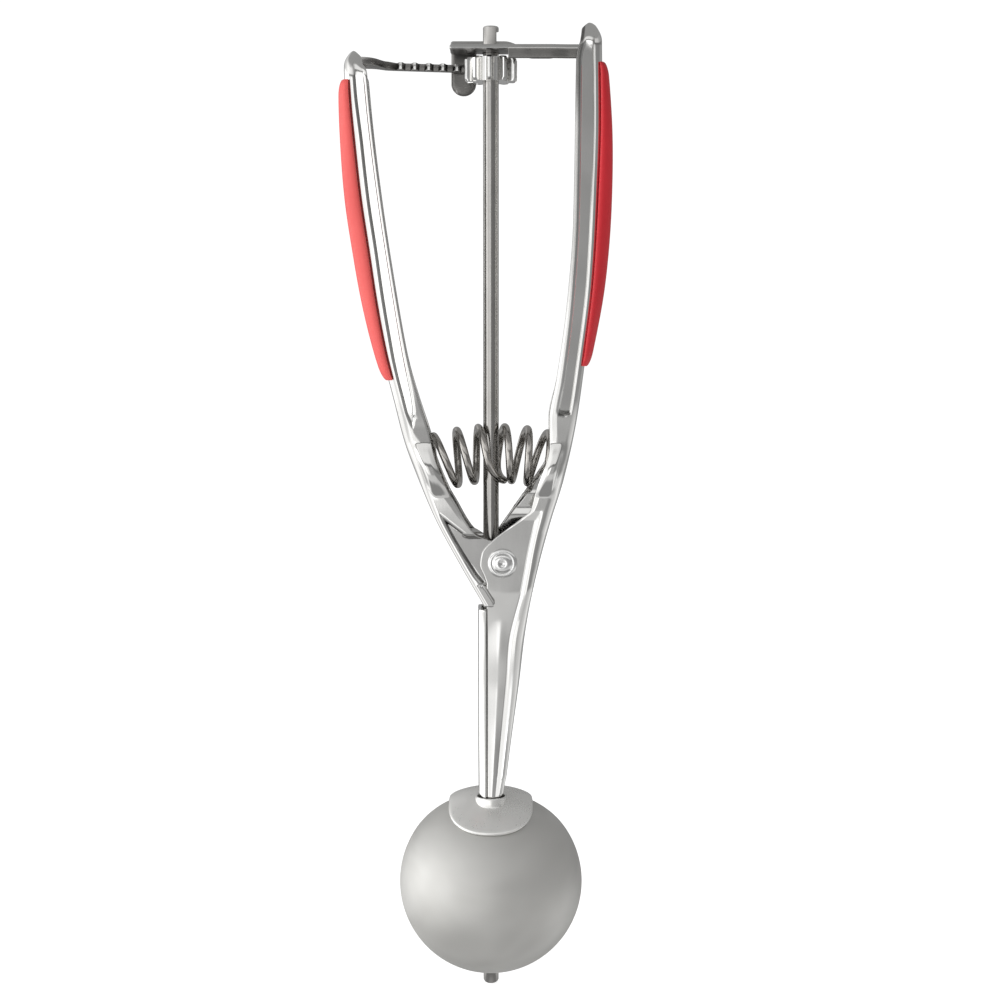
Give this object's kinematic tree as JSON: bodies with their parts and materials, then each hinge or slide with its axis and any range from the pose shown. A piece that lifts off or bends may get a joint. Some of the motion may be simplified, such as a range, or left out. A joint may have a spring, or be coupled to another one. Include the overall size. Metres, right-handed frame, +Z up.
{
  "type": "trigger scoop",
  "caption": "Spring-handled scoop: squeezing one channel handle drives a toothed rack, a pinion rod and a sweep blade inside a round bowl.",
  "frame": {"origin": "under the middle of the whole object's outline box, at the height of the tip of the bowl's lower pivot pin; the drive rod's axis is at x 3.34 mm, y -2.33 mm", "axes": "+Z up the drive rod from the bowl to the handles' ends, +X from the squeezed handle towards the fixed handle, -Y towards the convex back of the bowl"},
  "size_m": [0.0598, 0.0331, 0.221],
  "materials": {
    "polished_steel": "bright polished stainless sheet",
    "soft_red_cover": "smooth satin red",
    "rivet_steel": "bright",
    "rod_steel": "drawn, semi-bright",
    "plated_strip_steel": "bright plated",
    "spring_wire": "drawn wire",
    "brushed_bowl_steel": "satin brushed"
  },
  "bodies": {
    "frame": {"fixed_handle": "polished_steel", "fixed_grip": "soft_red_cover", "pivot_rivet_front": "rivet_steel", "pivot_rivet_rear": "rivet_steel", "gear_bracket": "plated_strip_steel", "return_spring": "spring_wire", "bowl": "brushed_bowl_steel", "bowl_collar": "polished_steel"},
    "lever": {"squeeze_lever": "polished_steel", "lever_grip": "soft_red_cover", "toothed_rack": "plated_strip_steel"},
    "rod": {"drive_rod": "rod_steel", "pinion_gear": "plated_strip_steel"},
    "blade": {"sweep_blade": "brushed_bowl_steel", "blade_pivot_pin": "rod_steel"}
  },
  "joints": [
    {"name": "handle_squeeze", "type": "hinge", "parent": "frame", "child": "lever", "pos_m": [0.00589, -0.00233, 0.10247], "axis": [0, 1, 0], "range_deg": [0, 7.34], "stiffness_Nm_per_rad": 2.8, "springref_deg": -11.46, "deforming": ["return_spring"]},
    {"name": "rod_turn", "type": "hinge", "parent": "frame", "child": "rod", "pos_m": [0.00334, -0.00233, 0.1], "axis": [0, 0, 1], "range_deg": [-163.2, 0]},
    {"name": "blade_sweep", "type": "hinge", "parent": "frame", "child": "blade", "pos_m": [0.00324, 0.0045, 0.02702], "axis": [0, -0.309, 0.9511], "range_deg": [-163.2, 0]}
  ],
  "couplings": [
    {"joint": "rod_turn", "follows": "handle_squeeze", "ratio": -22.2},
    {"joint": "blade_sweep", "follows": "handle_squeeze", "ratio": -22.2}
  ]
}
